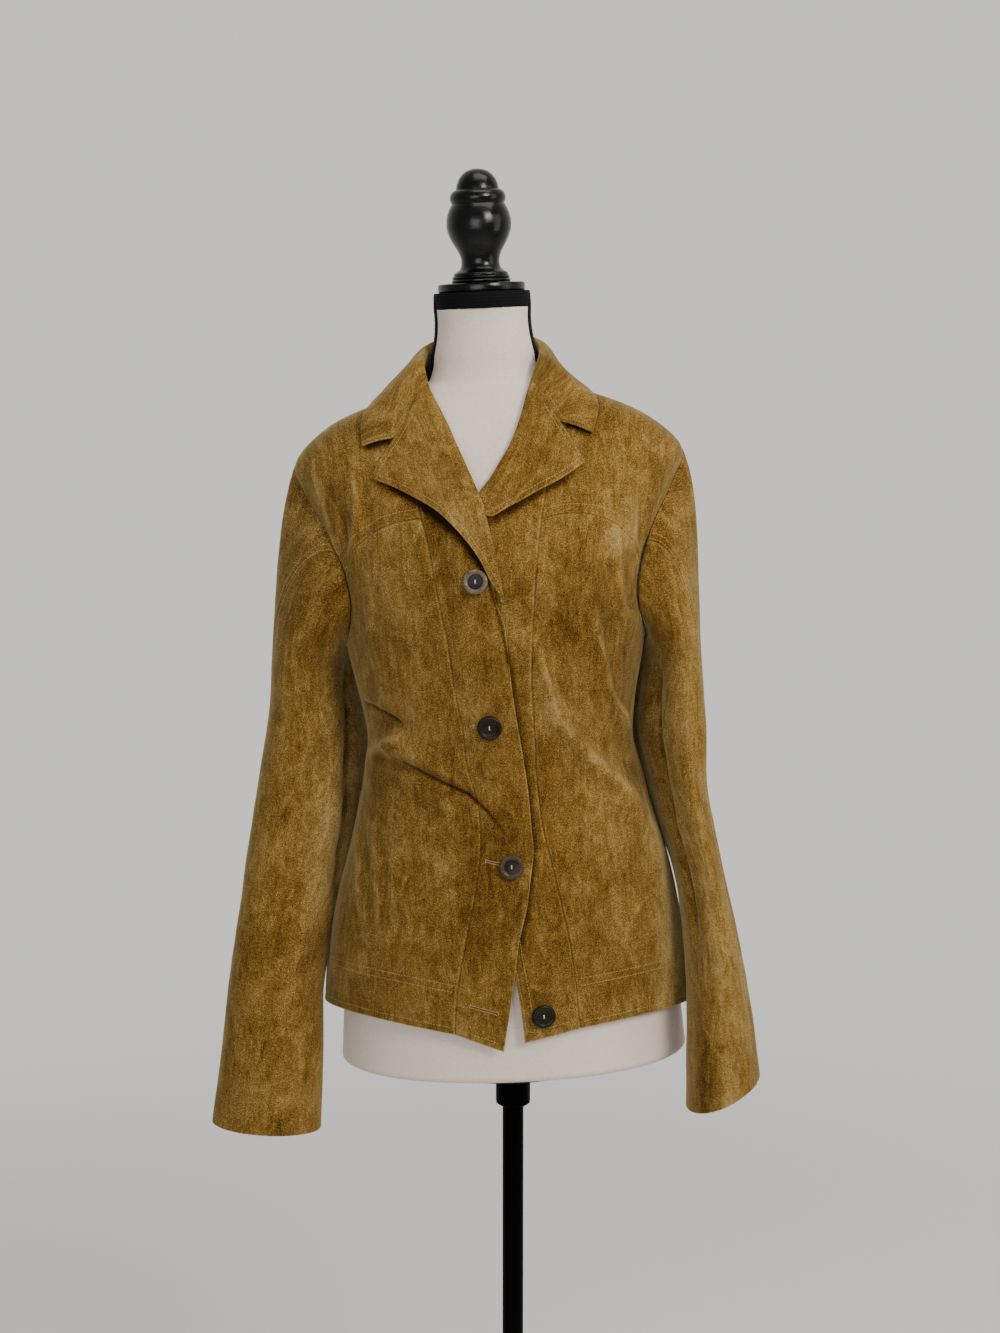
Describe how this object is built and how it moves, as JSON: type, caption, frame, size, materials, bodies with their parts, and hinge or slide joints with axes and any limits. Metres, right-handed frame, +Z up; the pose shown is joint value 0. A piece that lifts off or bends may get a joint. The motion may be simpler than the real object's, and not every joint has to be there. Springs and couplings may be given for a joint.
{
  "type": "corduroy blazer on dress form",
  "caption": "Fitted single-breasted corduroy blazer with notched lapels and long sleeves, worn on a limbless dress form with a black neck cap and turned finial, on a pole with a round base.",
  "frame": {"origin": "on the floor under the middle of the stand's round base", "axes": "+Z up, the front of the blazer faces -Y, +X is the wearer's left"},
  "size_m": [0.5555, 0.32, 1.5963],
  "materials": {
    "corduroy": "fine-wale cotton corduroy, ochre brown, napped",
    "horn": "dark mottled horn, polished",
    "linen_cover": "closely woven linen stretched over the form",
    "black_wood": "turned wood, gloss black lacquer",
    "black_iron": "black painted iron"
  },
  "bodies": {
    "root": {"back_left": "corduroy", "back_right": "corduroy", "button_1": "horn", "button_2": "horn", "button_3": "horn", "button_4": "horn", "collar": "corduroy", "form_finial": "black_wood", "form_neck_band": "black_wood", "form_neck_disc": "black_wood", "form_plate": "black_wood", "form_torso": "linen_cover", "front_centre_left": "corduroy", "front_centre_right": "corduroy", "front_side_left": "corduroy", "front_side_right": "corduroy", "front_yoke_left": "corduroy", "front_yoke_right": "corduroy", "lapel_left": "corduroy", "lapel_right": "corduroy", "sleeve_outer_left": "corduroy", "sleeve_outer_right": "corduroy", "sleeve_under_left": "corduroy", "sleeve_under_right": "corduroy", "stand_base": "black_iron", "stand_pole": "black_iron", "stand_socket": "black_iron"}
  },
  "joints": []
}
